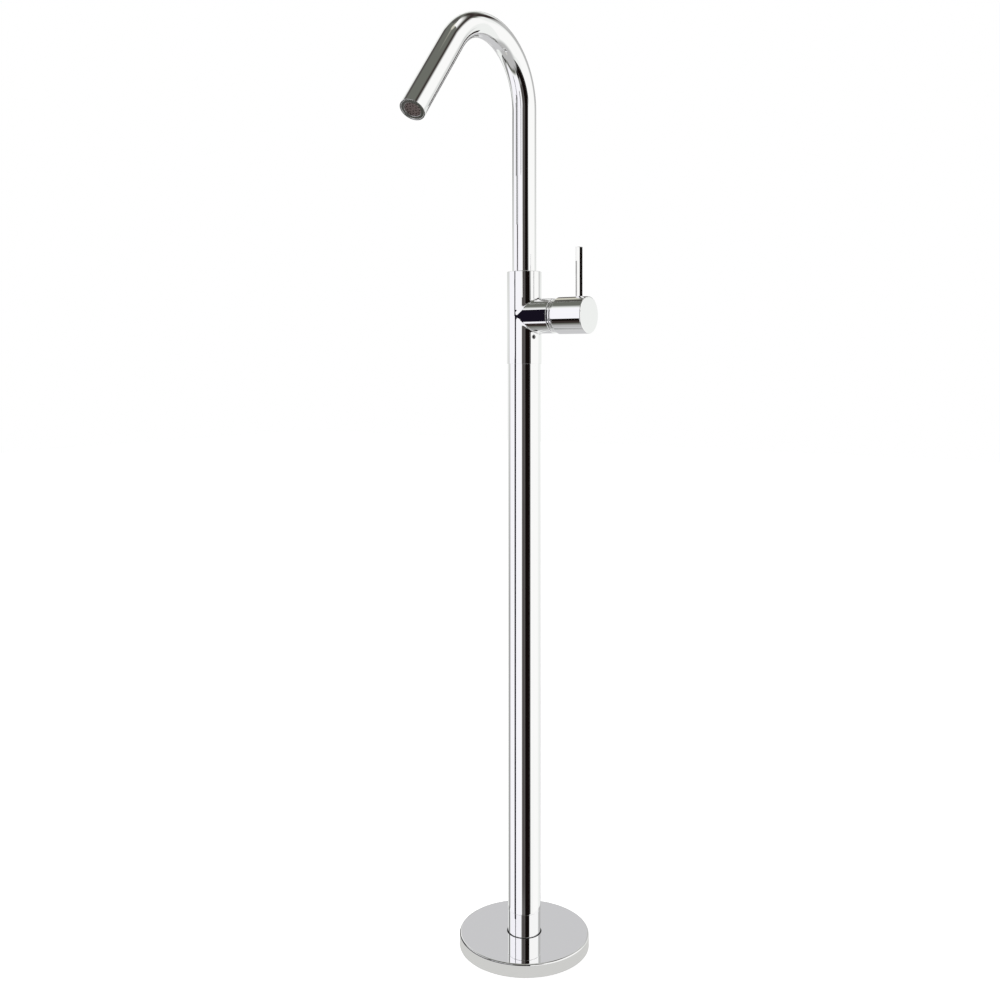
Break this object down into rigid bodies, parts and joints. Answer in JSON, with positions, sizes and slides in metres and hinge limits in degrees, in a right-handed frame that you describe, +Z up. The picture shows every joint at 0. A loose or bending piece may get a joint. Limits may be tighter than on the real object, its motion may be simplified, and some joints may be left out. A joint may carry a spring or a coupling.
{
  "type": "floor-standing basin mixer",
  "caption": "Freestanding chromed basin mixer: round floor plate, slim column, side cap with a pin lever and a bent swivel spout.",
  "frame": {"origin": "centre of the underside of the round base, on the floor, at the middle of the floor bolt circle", "axes": "+Z up along the column; the spout reaches out along -Y and the side lever along +X"},
  "size_m": [0.1615, 0.2953, 1.0624],
  "materials": {
    "chrome": "polished chrome plate on brass",
    "stainless": "turned stainless steel",
    "brass": "machined brass, unplated inside",
    "hose_braid": "braided stainless wire",
    "seal_rubber": "black sealing rubber",
    "cartridge_plastic": "moulded acetal",
    "aerator_plastic": "dark moulded plastic",
    "ceramic": "lapped ceramic"
  },
  "bodies": {
    "root": {"base_cover": "chrome", "cover_seal": "seal_rubber", "floor_flange": "stainless", "foot_spigot": "chrome", "foot_screws": "stainless", "inlet_block": "brass", "column_set_screw": "stainless", "column_tube": "chrome", "hot_hose": "hose_braid", "cold_hose": "hose_braid", "hose_nipples": "brass", "column_adapter": "brass", "mixer_body": "chrome", "body_set_screw": "stainless", "stop_screw": "stainless", "slide_ring": "cartridge_plastic", "port_seals": "seal_rubber", "cartridge_base": "cartridge_plastic", "fixed_disc": "ceramic", "cartridge_housing": "cartridge_plastic", "bonnet_nut": "chrome", "trim_ring": "chrome"},
    "spout": {"spout_tube": "chrome", "spout_tail": "brass", "spout_seals": "seal_rubber", "nose_bush": "brass", "aerator_housing": "chrome", "aerator_insert": "aerator_plastic", "aerator_gasket": "seal_rubber"},
    "rotor": {"rotor": "cartridge_plastic", "rotor_seal": "seal_rubber", "pivot_pin": "stainless"},
    "lever": {"lever_spindle": "stainless", "lever_cap": "chrome", "lever_pin": "chrome"},
    "disc": {"moving_disc": "ceramic", "disc_carrier": "cartridge_plastic"}
  },
  "joints": [
    {"name": "spout_swivel", "type": "hinge", "parent": "root", "child": "spout", "pos_m": [0, 0, 0.782], "axis": [0, 0, 1], "range_deg": [-60, 60]},
    {"name": "temperature_turn", "type": "hinge", "parent": "root", "child": "rotor", "pos_m": [0.036, 0, 0.73], "axis": [1, 0, 0], "range_deg": [-45, 45]},
    {"name": "flow_lift", "type": "hinge", "parent": "rotor", "child": "lever", "pos_m": [0.036, 0, 0.73], "axis": [0, 1, 0], "range_deg": [0, 20]},
    {"name": "disc_slide", "type": "slide", "parent": "rotor", "child": "disc", "axis": [0, 0, 1], "range_m": [0, 0.0053]}
  ],
  "couplings": [
    {"joint": "disc_slide", "follows": "flow_lift", "m_per_rad": 0.015}
  ]
}
